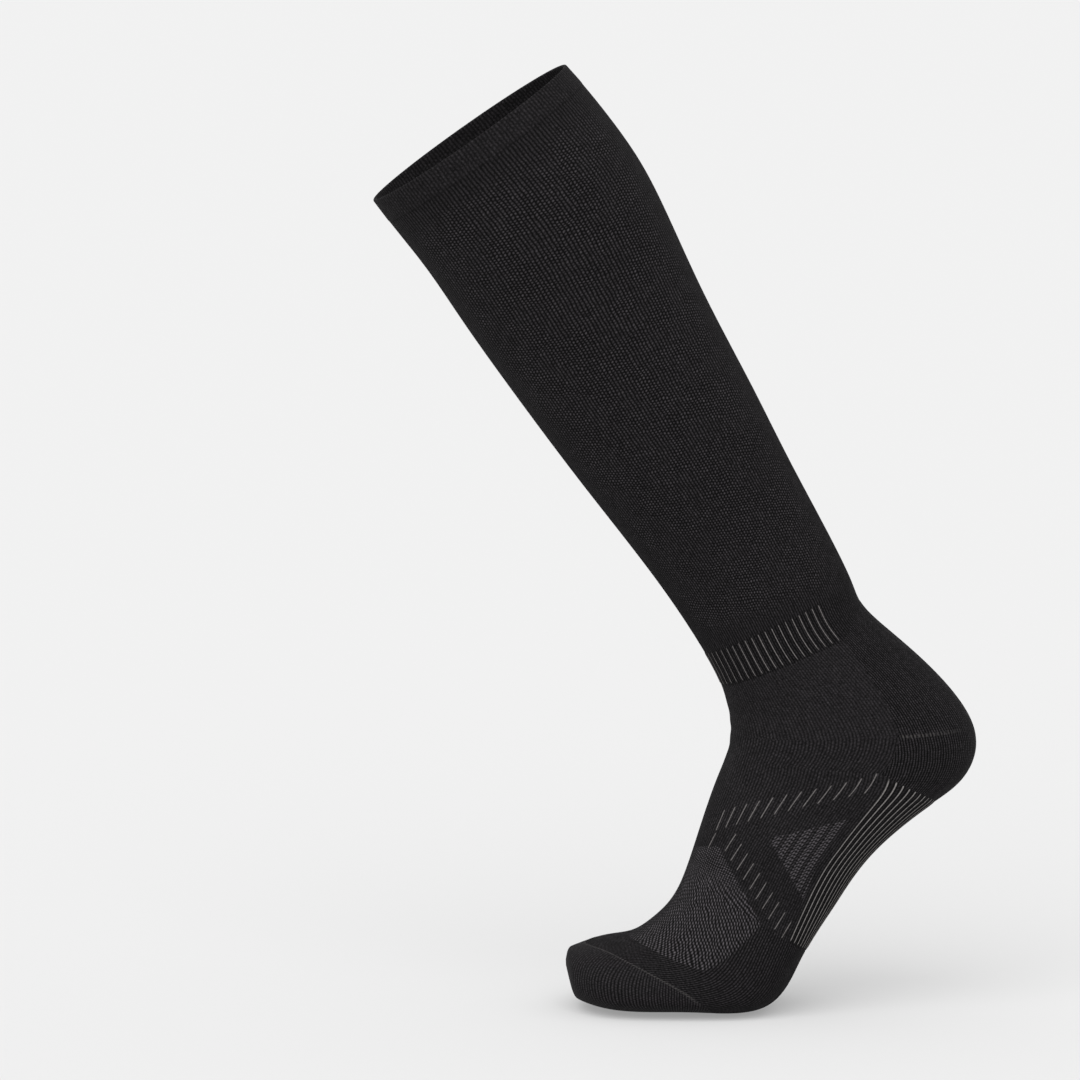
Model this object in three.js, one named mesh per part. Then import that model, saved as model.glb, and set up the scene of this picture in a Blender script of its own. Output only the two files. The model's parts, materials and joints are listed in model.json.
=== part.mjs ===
// Knee-high compression stocking, filled out as a leg fills it: the forefoot is
// flat on the ground, the heel is raised and the leg leans forward. Millimetres,
// +Z up, toes towards -X, heel towards +X, big toe and inner ankle towards +Y.
// The origin is the middle of the top opening, where the leg holds the stocking.
//
// A place on the cloth is a run, the way down from the top edge, and a turn, the
// share of the girth from the middle of the front round by the +Y side.

import * as THREE from "three";

const openingCentre = new THREE.Vector3(-150, 0, 440.5); // above the ground
const clothThickness = 1.8;
const seamGap = 0.3;

// Runs at which one knitted zone ends and the next begins. Where two are given,
// the seam slants from the middle of the front to the middle of the back.
const weltEnd = 13;
const calfEnd = 150; // the knit runs on, and only the solids part here
const legEnd = { front: 289, back: 283 };
const bandEnd = 306;
const goreRun = 333; // from the instep crease to the back of the heel
const footEnd = { front: 409, back: 428 };

// The toe seam arches over the toes and stays at one run under the sole
const toeSeam = { top: 500, sides: 463, halfTurn: 0.3, steepness: 1.15 };

// The heel pocket, about the middle of the back. corner is the half turn of its
// top corners, gore that of its widest point above and low that of its low corners.
const heelTop = { middle: 296, bow: 1.3 };
const heelBottom = { middle: 360, corner: 345, bow: 1.5 };
const heelHalfTurns = { corner: 0.136, gore: 0.175, low: 0.2 };
const soleHalfTurn = heelHalfTurns.low / 1.2; // the same cloth further down
const soleRun = 380; // where the cloth is as narrow as that
const narrowing = 1.3; // above 1 it narrows mostly at first

// Ribs that stand out of the cloth. perTurn is their number to a full girth, and
// halfSpan is the half turn that they cover, about the front or about the sole.
const weltRise = 0.2;
const bandRibs = { rise: 0.4, perTurn: 58, halfSpan: 0.5 - heelHalfTurns.corner };
const archRibs = { rise: 0.4, perTurn: 84, halfSpan: 0.155 };

// One row for each section. The front and back points lie in the plane Y = 0,
// with the ground at Z = 0. half is half of the width, and middle is the share
// of the way from front to back at which that width is reached. Corner powers of
// 2 give an ellipse and higher ones a squarer half. sway moves a section in Y.
const sectionColumns = [
  "run", "frontX", "frontZ", "backX", "backZ", "half", "middle", "frontPower", "backPower", "sway",
];
const sectionRows = [
  [0, -198, 407, -102.5, 474, 49.5, 0.5, 2, 2, 0.5],
  [12, -190.5, 397, -94.5, 465, 50.5, 0.5, 2, 2, 0.5],
  [36, -175.5, 378, -78.5, 445, 52.5, 0.52, 2, 2, 0.5],
  [80, -154, 347, -58, 412.5, 51.5, 0.54, 2, 2, 0],
  [130, -125, 306, -35, 363, 45.5, 0.54, 2, 2, 0],
  [180, -94.5, 265, -10, 314.5, 39, 0.52, 2, 2, 0],
  [230, -66, 228, 12.5, 270, 32.5, 0.52, 2, 2, 1],
  [286, -34.5, 182, 42, 211.5, 27.5, 0.5, 2.1, 2, 3],
  [306, -24, 162, 53.5, 195, 28, 0.48, 2.2, 2, 3.5],
  [320, -20.5, 148.5, 80, 171, 31, 0.46, 2.2, 2, 7],
  [333, -19.5, 137, 102.5, 140.5, 35, 0.46, 2.2, 2.1, 9.5],
  [346, -21, 126, 99.5, 116.5, 37, 0.48, 2.2, 2.2, 9.5],
  [360, -26, 113.5, 83, 102.5, 34, 0.5, 2.1, 2.3, 6],
  [380, -33.5, 93, 54.5, 80, 31, 0.52, 2.1, 2.4, 1],
  [405, -40.5, 72, 33, 52, 31.5, 0.56, 2.1, 2.5, -3],
  [432, -50, 52.5, 15.5, 24, 37, 0.62, 2.1, 2.7, -5],
  [450, -60, 43, -1, 2.5, 40, 0.66, 2.1, 2.8, -6],
  [468, -70, 37, -35, 0, 41, 0.66, 2.1, 2.8, -6],
  [486, -82, 35, -65, 0, 38.5, 0.62, 2.1, 2.7, -7],
  [500, -92, 32.3, -85, 1.5, 31.5, 0.58, 2.1, 2.5, -7],
  [509, -98.5, 30, -95.5, 4, 21.5, 0.54, 2.1, 2.2, -6],
  [514, -101.3, 27, -99.3, 10, 11, 0.5, 2, 2, -6],
  [516, -102, 23.5, -101.2, 17.5, 2, 0.5, 2, 2, -6],
];
const toeTip = sectionRows.at(-1)[0];
const tipRound = 0.3; // the last point stands this far beyond the last section

// Rows and columns of the pieces' grids
const tubeColumns = 48;
const rowsOf = {
  welt: 3, calf: 8, lowerLeg: 8, band: 4, ankle: 6, heel: 14, besideHeel: 3, foot: 11, forefoot: 8, toe: 9,
};
const columnsOf = { bandBack: 8, ankle: 40, heel: 20, instep: 28 };

const colours = {
  knit: 0x2b2b2e,
  welt: 0x232326,
  pocket: 0x1b1b1d,
  ribbed: 0x333335,
};

const mix = (a, b, share) => a + (b - a) * share;
const halfGap = seamGap / 2;

// Slopes' rates of change for a natural cubic curve through the rows
function curveBends(places, values) {
  const count = places.length;
  const bends = new Array(count).fill(0);
  const share = new Array(count).fill(0);
  for (let k = 1; k < count - 1; k++) {
    const before = places[k] - places[k - 1];
    const after = places[k + 1] - places[k];
    const turn = (values[k + 1] - values[k]) / after - (values[k] - values[k - 1]) / before;
    const pivot = 2 * (before + after) - before * share[k - 1];
    share[k] = after / pivot;
    bends[k] = (6 * turn - before * bends[k - 1]) / pivot;
  }
  for (let k = count - 2; k > 0; k--) {
    bends[k] -= share[k] * bends[k + 1];
  }
  return bends;
}

const runs = sectionRows.map((row) => row[0]);
const sectionCurves = sectionColumns.map((name, column) => {
  const values = sectionRows.map((row) => row[column]);
  return { name, values, bends: curveBends(runs, values) };
});

function sectionAt(run) {
  let k = runs.findIndex((place) => place >= run);
  k = Math.min(Math.max(k, 1), runs.length - 1);
  const step = runs[k] - runs[k - 1];
  const b = (run - runs[k - 1]) / step;
  const a = 1 - b;
  const section = {};
  for (const { name, values, bends } of sectionCurves) {
    const bend = (a ** 3 - a) * bends[k - 1] + (b ** 3 - b) * bends[k];
    section[name] = a * values[k - 1] + b * values[k] + (bend * step * step) / 6;
  }
  return section;
}

// A point of a section, by an angle from the front over +Y to the back
function sectionPoint(section, angle) {
  const front = new THREE.Vector3(section.frontX, 0, section.frontZ);
  const back = new THREE.Vector3(section.backX, 0, section.backZ);
  const centre = front.clone().lerp(back, section.middle);
  const towardsFront = Math.cos(angle) > 0;
  const power = 2 / (towardsFront ? section.frontPower : section.backPower);
  const along = Math.abs(Math.cos(angle)) ** power;
  const across = Math.sign(Math.sin(angle)) * Math.abs(Math.sin(angle)) ** power;
  const point = centre.lerp(towardsFront ? front : back, along);
  point.y = section.sway + section.half * across;
  return point;
}

// Angles that stand at equal steps of girth, worked out once for each run
const girthSteps = 360;
const ringCache = new Map();
function ringAt(run) {
  if (!ringCache.has(run)) {
    const section = sectionAt(run);
    const lengths = [0];
    let last = sectionPoint(section, 0);
    for (let k = 1; k <= girthSteps; k++) {
      const next = sectionPoint(section, (2 * Math.PI * k) / girthSteps);
      lengths.push(lengths[k - 1] + next.distanceTo(last));
      last = next;
    }
    ringCache.set(run, { section, lengths, girth: lengths[girthSteps] });
  }
  return ringCache.get(run);
}

function surfacePoint(run, turn) {
  const { section, lengths, girth } = ringAt(run);
  const wanted = (turn - Math.floor(turn)) * girth;
  let low = 0;
  let high = girthSteps;
  while (high - low > 1) {
    const half = (low + high) >> 1;
    if (lengths[half] > wanted) high = half;
    else low = half;
  }
  const share = (wanted - lengths[low]) / (lengths[high] - lengths[low]);
  return sectionPoint(section, (2 * Math.PI * (low + share)) / girthSteps);
}

// The way down the cloth and the way round it, each as a length per unit
const runStep = 0.25;
const turnStep = 0.002;
function surfaceSlopes(run, turn) {
  const below = Math.min(run + runStep, toeTip);
  const above = Math.max(run - runStep, 0);
  const down = surfacePoint(below, turn).sub(surfacePoint(above, turn));
  const round = surfacePoint(run, turn + turnStep).sub(surfacePoint(run, turn - turnStep));
  return { down: down.divideScalar(below - above), round: round.divideScalar(2 * turnStep) };
}

function surfaceNormal(run, turn) {
  if (run >= toeTip) return new THREE.Vector3(-1, 0, 0);
  const { down, round } = surfaceSlopes(run, turn);
  return round.cross(down).normalize();
}

// The place reached by a step in millimetres from another place on the cloth
function steppedBy({ run, turn }, step) {
  const { down, round } = surfaceSlopes(run, turn);
  const lean = down.dot(round);
  const scale = down.lengthSq() * round.lengthSq() - lean * lean;
  const alongDown = (step.dot(down) * round.lengthSq() - step.dot(round) * lean) / scale;
  const alongRound = (step.dot(round) * down.lengthSq() - step.dot(down) * lean) / scale;
  return { run: run + alongDown, turn: turn + alongRound };
}

// The place a distance in millimetres further down the cloth
function steppedDown(place, distance) {
  const { down } = surfaceSlopes(place.run, place.turn);
  return steppedBy(place, down.setLength(distance));
}

// A place beside a seam, square to it. seamAt gives the seam's places by a share
// of its length, and the distance is positive to the left of that direction as
// seen from outside, which is down the cloth for a seam that goes round it.
const seamShare = 0.001;
function besideSeam(seamAt, share, distance) {
  const before = seamAt(share - seamShare);
  const after = seamAt(share + seamShare);
  const along = surfacePoint(after.run, after.turn).sub(surfacePoint(before.run, before.turn));
  const at = seamAt(share);
  const across = along.cross(surfaceNormal(at.run, at.turn)).normalize();
  return steppedBy(at, across.multiplyScalar(-distance));
}

// One piece of cloth: a closed wall over the filled cells of a grid of places.
// closedRound joins the last column to the first, and tip draws the last row of
// points together. rise lifts the outer points over a plain inside.
const plainWall = { closedRound: true, filled: () => true, rise: () => 0, tip: false };
function clothWall(settings) {
  const { rows, columns, place, closedRound, filled, rise, tip } = { ...plainWall, ...settings };
  const across = closedRound ? columns : columns + 1;
  const indexOf = new Map();
  const positions = [];
  const used = (i, j) => {
    const inRound = closedRound ? (j + columns) % columns : j;
    return i >= 0 && i < rows && inRound >= 0 && inRound < columns && filled(i, inRound);
  };
  const pointIndex = (i, j) => {
    const column = tip && i === rows ? 0 : j % across;
    const key = i * across + column;
    if (!indexOf.has(key)) {
      const { run, turn } = place(i, column);
      const outer = tip && i === rows ? tipPoint() : surfacePoint(run, turn);
      const normal = surfaceNormal(run, turn);
      const inner = outer.clone().addScaledVector(normal, -clothThickness);
      outer.addScaledVector(normal, rise(i, column));
      indexOf.set(key, positions.length / 3);
      positions.push(...outer.sub(openingCentre), ...inner.sub(openingCentre));
    }
    return indexOf.get(key);
  };
  const triangles = [];
  const addTriangle = (a, b, c) => {
    if (a !== b && b !== c && c !== a) triangles.push(a, b, c);
  };
  const sides = [
    { from: [0, 0], to: [0, 1], beyond: [-1, 0] },
    { from: [0, 1], to: [1, 1], beyond: [0, 1] },
    { from: [1, 1], to: [1, 0], beyond: [1, 0] },
    { from: [1, 0], to: [0, 0], beyond: [0, -1] },
  ];
  for (let i = 0; i < rows; i++) {
    for (let j = 0; j < columns; j++) {
      if (!used(i, j)) continue;
      const [a, b, c, d] = [[0, 0], [0, 1], [1, 1], [1, 0]].map(([di, dj]) => pointIndex(i + di, j + dj));
      addTriangle(a, b, c);
      addTriangle(a, c, d);
      addTriangle(c + 1, b + 1, a + 1);
      addTriangle(d + 1, c + 1, a + 1);
      for (const { from, to, beyond } of sides) {
        const atTip = tip && from[0] === 1 && to[0] === 1 && i === rows - 1;
        if (atTip || used(i + beyond[0], j + beyond[1])) continue;
        const start = pointIndex(i + from[0], j + from[1]);
        const end = pointIndex(i + to[0], j + to[1]);
        addTriangle(end, start, start + 1);
        addTriangle(end, start + 1, end + 1);
      }
    }
  }
  const geometry = new THREE.BufferGeometry();
  geometry.setAttribute("position", new THREE.Float32BufferAttribute(positions, 3));
  geometry.setIndex(triangles);
  geometry.computeVertexNormals();
  return geometry;
}

function tipPoint() {
  const section = sectionAt(toeTip);
  const x = (section.frontX + section.backX) / 2 - tipRound;
  return new THREE.Vector3(x, section.sway, (section.frontZ + section.backZ) / 2);
}

// A seam whose run changes evenly from the front to the back of the cloth
function slantedRun({ front, back }, turn) {
  return mix(front, back, (1 - Math.cos(2 * Math.PI * turn)) / 2);
}

function toeSeamRun(turn) {
  const fromBack = Math.abs(turn - Math.floor(turn) - 0.5);
  const fromFront = Math.min((0.5 - fromBack) / toeSeam.halfTurn, 1);
  const arch = ((1 + Math.cos(Math.PI * fromFront)) / 2) ** toeSeam.steepness;
  return mix(toeSeam.sides, toeSeam.top, arch);
}

// Half of the turn that the heel pocket takes up, and the sole's ribs after it
function heelHalfTurn(run) {
  if (run < goreRun) {
    const share = Math.max((run - bandEnd) / (goreRun - bandEnd), 0);
    return mix(heelHalfTurns.corner, heelHalfTurns.gore, share);
  }
  if (run < heelBottom.corner) {
    const share = (run - goreRun) / (heelBottom.corner - goreRun);
    return mix(heelHalfTurns.gore, heelHalfTurns.low, share);
  }
  const share = Math.max((soleRun - run) / (soleRun - heelBottom.corner), 0);
  return mix(soleHalfTurn, heelHalfTurns.low, share ** narrowing);
}

// side is 0 at the middle of the back and 1 at either side edge of the pocket
const heelTopRun = (side) => mix(heelTop.middle, bandEnd, side ** heelTop.bow);
const heelBottomRun = (side) => mix(heelBottom.middle, heelBottom.corner, side ** heelBottom.bow);

// Columns round a tube, as even turns from the middle of the front. Ribs take
// two columns each, one in the furrow and one on the crest.
function evenSteps(from, to, count) {
  return Array.from({ length: count }, (_, k) => ({ even: mix(from, to, k / count), crest: false }));
}

function ribSteps(from, to, perTurn) {
  const ribs = Math.round((to - from) * perTurn);
  return evenSteps(from, to, 2 * ribs).map((step, k) => ({ ...step, crest: k % 2 === 1 }));
}

// The turn of a column, squeezed so that an even half turn of edge at the back
// falls on halfTurn
function squeezedTurn(even, edge, halfTurn) {
  const fromBack = even - 0.5;
  if (Math.abs(fromBack) <= edge) return 0.5 + (fromBack * halfTurn) / edge;
  const fromFront = even < 0.5 ? even : even - 1;
  return (fromFront * (0.5 - halfTurn)) / (0.5 - edge);
}

// Places of a tube between two seams, each given as a run for a turn
function tubePlace(rows, turns, upperRun, lowerRun) {
  return (i, j) => {
    const turn = turns[j];
    const seam = i === 0 ? upperRun : lowerRun;
    if (i > 0 && i < rows) return { run: mix(upperRun(turn), lowerRun(turn), i / rows), turn };
    const seamAt = (share) => ({ run: seam(share), turn: share });
    return besideSeam(seamAt, turn, i === 0 ? halfGap : -halfGap);
  };
}

const evenTurns = Array.from({ length: tubeColumns }, (_, j) => j / tubeColumns);

function weltGeometry() {
  const rows = rowsOf.welt;
  const belowTop = tubePlace(rows, evenTurns, () => 0, () => weltEnd);
  const place = (i, j) => (i === 0 ? { run: 0, turn: evenTurns[j] } : belowTop(i, j));
  return clothWall({ rows, columns: tubeColumns, place, rise: () => weltRise });
}

const legEndRun = (turn) => slantedRun(legEnd, turn);
const footEndRun = (turn) => slantedRun(footEnd, turn);

function calfGeometry() {
  const rows = rowsOf.calf;
  const place = tubePlace(rows, evenTurns, () => weltEnd, () => calfEnd);
  return clothWall({ rows, columns: tubeColumns, place });
}

function lowerLegGeometry() {
  const rows = rowsOf.lowerLeg;
  const place = tubePlace(rows, evenTurns, () => calfEnd, legEndRun);
  return clothWall({ rows, columns: tubeColumns, place });
}

function bandGeometry() {
  const rows = rowsOf.band;
  const { halfSpan, perTurn } = bandRibs;
  const steps = [
    ...ribSteps(-halfSpan, halfSpan, perTurn),
    ...evenSteps(halfSpan, 1 - halfSpan, columnsOf.bandBack),
  ];
  const lowerRun = (turn) => {
    const fromBack = Math.abs(turn - Math.floor(turn) - 0.5);
    return heelTopRun(Math.min(fromBack / heelHalfTurns.corner, 1));
  };
  const place = tubePlace(rows, steps.map((step) => step.even), legEndRun, lowerRun);
  const rise = (i, j) => (steps[j].crest && i > 0 && i < rows ? bandRibs.rise : 0);
  return clothWall({ rows, columns: steps.length, place, rise });
}

// Places of a patch with four edges, each kept half a gap inside its seam.
// at gives a place by shares down and across.
function patchPlace(rows, columns, at) {
  return (i, j) => {
    const down = i / rows;
    const across = j / columns;
    const acrossSeam = (share) => at(down, share);
    const downSeam = (share) => at(share, across);
    const offEnds = i === 0 ? halfGap : i === rows ? -halfGap : 0;
    const offSides = j === 0 ? halfGap : j === columns ? -halfGap : 0;
    const inward = besideSeam(acrossSeam, across, offEnds);
    if (offSides === 0) return inward;
    const sideways = besideSeam(downSeam, down, -offSides);
    const corner = at(down, across);
    return {
      run: inward.run + sideways.run - corner.run,
      turn: inward.turn + sideways.turn - corner.turn,
    };
  };
}

function ankleGeometry() {
  const rows = rowsOf.ankle;
  const columns = columnsOf.ankle;
  const place = patchPlace(rows, columns, (down, across) => {
    const run = mix(bandEnd, goreRun, down);
    return { run, turn: (2 * across - 1) * (0.5 - heelHalfTurn(run)) };
  });
  return clothWall({ rows, columns, place, closedRound: false });
}

function heelGeometry() {
  const rows = rowsOf.heel;
  const columns = columnsOf.heel;
  const place = patchPlace(rows, columns, (down, across) => {
    const side = 2 * across - 1;
    const run = mix(heelTopRun(Math.abs(side)), heelBottomRun(Math.abs(side)), down);
    return { run, turn: 0.5 + side * heelHalfTurn(run) };
  });
  return clothWall({ rows, columns, place, closedRound: false });
}

// The first rows pass in front of the heel pocket, and the rest go all round
function footGeometry() {
  const rowsBesideHeel = rowsOf.besideHeel;
  const rows = rowsOf.foot;
  const edge = soleHalfTurn;
  const { halfSpan, perTurn } = archRibs;
  const steps = [
    ...evenSteps(edge - 0.5, 0.5 - edge, columnsOf.instep),
    ...evenSteps(0.5 - edge, 0.5 - halfSpan, 1),
    ...ribSteps(0.5 - halfSpan, 0.5 + halfSpan, perTurn),
    ...evenSteps(0.5 + halfSpan, 0.5 + edge, 1),
  ];
  const sideOf = (even) => Math.abs(even - Math.floor(even) - 0.5) / edge;
  const tolerance = 1e-6;
  const tinyStep = 0.02;
  const atRow = (i, even) => {
    const upper = heelBottomRun(Math.min(sideOf(even), 1));
    const run =
      i <= rowsBesideHeel
        ? mix(goreRun, upper, i / rowsBesideHeel)
        : mix(upper, footEndRun(even), (i - rowsBesideHeel) / (rows - rowsBesideHeel));
    return { run, turn: squeezedTurn(even - Math.floor(even), edge, heelHalfTurn(run)) };
  };
  const place = (i, j) => {
    const { even } = steps[j];
    const side = sideOf(even);
    const alongRow = (share) => atRow(i, share);
    if (i === rows) return besideSeam(alongRow, even, -halfGap);
    const besideHeel = side > 1 - tolerance;
    const onHeelSide = besideHeel && side < 1 + tolerance && i <= rowsBesideHeel;
    if (!besideHeel && i === rowsBesideHeel) return besideSeam(alongRow, even, halfGap);
    if (!onHeelSide) return i === 0 ? besideSeam(alongRow, even, halfGap) : atRow(i, even);
    const downEdge = (share) => atRow(share * rows, even);
    const awayFromHeel = even > 0 ? halfGap : -halfGap;
    const off = besideSeam(downEdge, Math.min(i, rowsBesideHeel - tinyStep) / rows, awayFromHeel);
    return i === 0 || i === rowsBesideHeel ? steppedDown(off, halfGap) : off;
  };
  const filled = (i, j) => {
    const ends = [steps[j], steps[(j + 1) % steps.length]];
    return i >= rowsBesideHeel || ends.every(({ even }) => sideOf(even) > 1 - tolerance);
  };
  const rise = (i, j) => (steps[j].crest && i > rowsBesideHeel && i < rows ? archRibs.rise : 0);
  return clothWall({ rows, columns: steps.length, place, filled, rise });
}

function forefootGeometry() {
  const rows = rowsOf.forefoot;
  const place = tubePlace(rows, evenTurns, footEndRun, toeSeamRun);
  return clothWall({ rows, columns: tubeColumns, place });
}

// Rows come closer together towards the tip, where the cloth turns most
function toeGeometry() {
  const rows = rowsOf.toe;
  const fromSeam = tubePlace(rows, evenTurns, toeSeamRun, () => toeTip);
  const place = (i, j) => {
    const turn = evenTurns[j];
    const share = Math.sin(((i / rows) * Math.PI) / 2);
    return i === 0 ? fromSeam(i, j) : { run: mix(toeSeamRun(turn), toeTip, share), turn };
  };
  return clothWall({ rows, columns: tubeColumns, place, tip: true });
}

function piece(name, geometry, color) {
  const material = new THREE.MeshStandardMaterial({ color, roughness: 0.92, metalness: 0 });
  const mesh = new THREE.Mesh(geometry, material);
  mesh.name = name;
  return mesh;
}

const stocking = new THREE.Group();
stocking.add(
  piece("welt", weltGeometry(), colours.welt),
  piece("calf", calfGeometry(), colours.knit),
  piece("lower_leg", lowerLegGeometry(), colours.knit),
  piece("ankle_band", bandGeometry(), colours.ribbed),
  piece("ankle", ankleGeometry(), colours.knit),
  piece("heel", heelGeometry(), colours.pocket),
  piece("foot", footGeometry(), colours.ribbed),
  piece("forefoot", forefootGeometry(), colours.knit),
  piece("toe", toeGeometry(), colours.pocket),
);

export default stocking;
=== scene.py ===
# Knee-high compression stocking, standing filled out on a pale studio floor.
# Its zones of knit are thin shells on one form. A place on the form is a run, the
# way down from the top edge in millimetres, and a turn, the share of the girth
# from the middle of the front.

import json
import math

import bpy
import numpy as np
from mathutils import Vector
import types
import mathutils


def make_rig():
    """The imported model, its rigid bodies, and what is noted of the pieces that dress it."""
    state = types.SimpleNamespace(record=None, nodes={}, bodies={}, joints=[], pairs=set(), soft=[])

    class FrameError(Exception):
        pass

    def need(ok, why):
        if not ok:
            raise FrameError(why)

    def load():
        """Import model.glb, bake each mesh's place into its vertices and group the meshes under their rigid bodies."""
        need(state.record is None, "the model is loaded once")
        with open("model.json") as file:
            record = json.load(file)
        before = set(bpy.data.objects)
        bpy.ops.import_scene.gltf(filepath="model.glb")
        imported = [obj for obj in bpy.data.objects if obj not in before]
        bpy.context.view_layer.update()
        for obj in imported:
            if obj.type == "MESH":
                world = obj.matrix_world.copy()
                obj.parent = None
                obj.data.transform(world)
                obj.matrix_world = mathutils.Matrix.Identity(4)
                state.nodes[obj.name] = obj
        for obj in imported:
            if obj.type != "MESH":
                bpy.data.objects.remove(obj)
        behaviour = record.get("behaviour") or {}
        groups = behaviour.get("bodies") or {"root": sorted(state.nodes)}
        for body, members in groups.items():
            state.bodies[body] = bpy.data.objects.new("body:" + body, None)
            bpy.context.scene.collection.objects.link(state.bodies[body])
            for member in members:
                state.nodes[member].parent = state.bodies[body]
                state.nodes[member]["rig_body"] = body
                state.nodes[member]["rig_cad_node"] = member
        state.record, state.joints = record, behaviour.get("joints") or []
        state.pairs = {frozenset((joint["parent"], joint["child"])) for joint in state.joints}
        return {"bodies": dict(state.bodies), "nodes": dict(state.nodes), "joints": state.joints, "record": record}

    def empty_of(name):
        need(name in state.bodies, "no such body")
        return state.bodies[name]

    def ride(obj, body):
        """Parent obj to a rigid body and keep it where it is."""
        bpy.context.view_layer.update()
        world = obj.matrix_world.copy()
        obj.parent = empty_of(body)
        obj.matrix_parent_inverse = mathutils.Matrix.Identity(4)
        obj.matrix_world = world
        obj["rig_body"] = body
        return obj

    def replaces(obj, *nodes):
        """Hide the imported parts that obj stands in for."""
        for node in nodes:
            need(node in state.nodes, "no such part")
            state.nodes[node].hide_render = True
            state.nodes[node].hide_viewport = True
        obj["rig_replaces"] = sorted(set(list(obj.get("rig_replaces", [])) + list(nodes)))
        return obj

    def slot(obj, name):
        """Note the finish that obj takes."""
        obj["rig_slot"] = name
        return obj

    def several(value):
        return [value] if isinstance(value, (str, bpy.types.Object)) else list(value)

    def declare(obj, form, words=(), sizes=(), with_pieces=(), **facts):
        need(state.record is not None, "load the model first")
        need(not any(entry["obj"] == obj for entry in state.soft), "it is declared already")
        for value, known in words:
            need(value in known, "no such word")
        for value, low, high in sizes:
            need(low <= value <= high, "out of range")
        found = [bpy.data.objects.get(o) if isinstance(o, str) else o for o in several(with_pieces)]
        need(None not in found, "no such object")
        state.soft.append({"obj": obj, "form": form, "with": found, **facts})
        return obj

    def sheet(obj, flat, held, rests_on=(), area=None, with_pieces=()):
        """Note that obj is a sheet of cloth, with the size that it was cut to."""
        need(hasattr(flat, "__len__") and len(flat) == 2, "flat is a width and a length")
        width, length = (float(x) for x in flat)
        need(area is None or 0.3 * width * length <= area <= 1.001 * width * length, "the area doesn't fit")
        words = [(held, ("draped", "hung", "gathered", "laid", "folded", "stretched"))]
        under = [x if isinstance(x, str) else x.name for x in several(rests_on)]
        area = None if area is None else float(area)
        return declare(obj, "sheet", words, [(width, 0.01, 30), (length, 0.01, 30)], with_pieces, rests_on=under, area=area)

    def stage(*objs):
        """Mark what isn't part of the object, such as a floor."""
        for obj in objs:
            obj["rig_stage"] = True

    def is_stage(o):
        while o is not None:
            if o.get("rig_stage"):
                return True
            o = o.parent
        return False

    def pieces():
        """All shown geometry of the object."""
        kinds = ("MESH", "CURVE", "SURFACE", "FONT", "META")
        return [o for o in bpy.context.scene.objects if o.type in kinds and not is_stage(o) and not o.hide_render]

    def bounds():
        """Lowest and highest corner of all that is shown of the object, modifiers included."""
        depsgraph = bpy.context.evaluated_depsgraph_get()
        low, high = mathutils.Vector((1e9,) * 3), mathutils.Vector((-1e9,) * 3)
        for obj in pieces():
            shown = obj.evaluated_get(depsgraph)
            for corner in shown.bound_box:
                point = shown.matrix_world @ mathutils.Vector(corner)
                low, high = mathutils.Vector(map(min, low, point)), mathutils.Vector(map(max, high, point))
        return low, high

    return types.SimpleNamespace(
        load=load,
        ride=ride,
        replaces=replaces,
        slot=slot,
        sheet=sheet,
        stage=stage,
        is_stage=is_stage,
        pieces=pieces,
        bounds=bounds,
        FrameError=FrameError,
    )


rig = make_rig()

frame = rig.load()
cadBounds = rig.bounds()
bpy.ops.object.select_all(action="DESELECT")
mm = 0.001
print("frame loaded")


# Camera, light and floor

view = {
    "tilt": 8.5,  # degrees that the camera looks down
    "distance": 5.0,
    "frameWidth": 0.54,  # metres across the picture at the stocking
    "aim": (0.035, 0.0, -0.2049),
    "sensor": 36.0,
    "clipEnd": 200,
}
studio = {
    "white": (1, 1, 1, 1),
    "ground": -0.4412,  # the floor, below the middle of the top opening
    "floorSize": 80.0,
    "floorColour": (0.405, 0.405, 0.405, 1),
    "floorRoughness": 0.9,
    "floorGlow": 0.29,  # keeps the shadow as light as in the photo
    "worldStrength": 0.98,
    "keyStrength": 2.15,
    "keyAngle": 70,  # degrees that the light is wide, for soft shadows
    "keyTurn": (45, 0, -18),
}


def makeCamera():
    tilt = math.radians(view["tilt"])
    bpy.ops.object.camera_add()
    camera = bpy.context.object
    camera.name = "photoCamera"
    away = Vector((0, -math.cos(tilt), math.sin(tilt)))
    camera.location = Vector(view["aim"]) + away * view["distance"]
    camera.rotation_euler = (math.radians(90) - tilt, 0, 0)
    camera.data.sensor_width = view["sensor"]
    camera.data.lens = view["sensor"] * view["distance"] / view["frameWidth"]
    camera.data.clip_end = view["clipEnd"]
    bpy.context.scene.camera = camera


def makeStudio():
    world = bpy.data.worlds.new("softStudio")
    world.use_nodes = True
    sky = world.node_tree.nodes["Background"]
    sky.inputs["Color"].default_value = studio["white"]
    sky.inputs["Strength"].default_value = studio["worldStrength"]
    bpy.context.scene.world = world
    bpy.ops.object.light_add(type="SUN", rotation=[math.radians(a) for a in studio["keyTurn"]])
    key = bpy.context.object
    key.name = "softKey"
    key.data.energy = studio["keyStrength"]
    key.data.angle = math.radians(studio["keyAngle"])
    bpy.ops.mesh.primitive_plane_add(size=studio["floorSize"], location=(0, 0, studio["ground"]))
    floor = bpy.context.object
    floor.name = "floor"
    floor.data.transform(floor.matrix_world)
    floor.matrix_world.identity()
    paper = bpy.data.materials.new("floorPaper")
    paper.use_nodes = True
    shade = paper.node_tree.nodes["Principled BSDF"]
    shade.inputs["Base Color"].default_value = studio["floorColour"]
    shade.inputs["Roughness"].default_value = studio["floorRoughness"]
    shade.inputs["Specular IOR Level"].default_value = 0.0
    shade.inputs["Emission Color"].default_value = studio["white"]
    shade.inputs["Emission Strength"].default_value = studio["floorGlow"]
    floor.data.materials.append(paper)
    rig.stage(floor)
    bpy.context.scene.view_settings.view_transform = "Standard"


makeCamera()
makeStudio()
print("camera, light and floor made")


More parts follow.
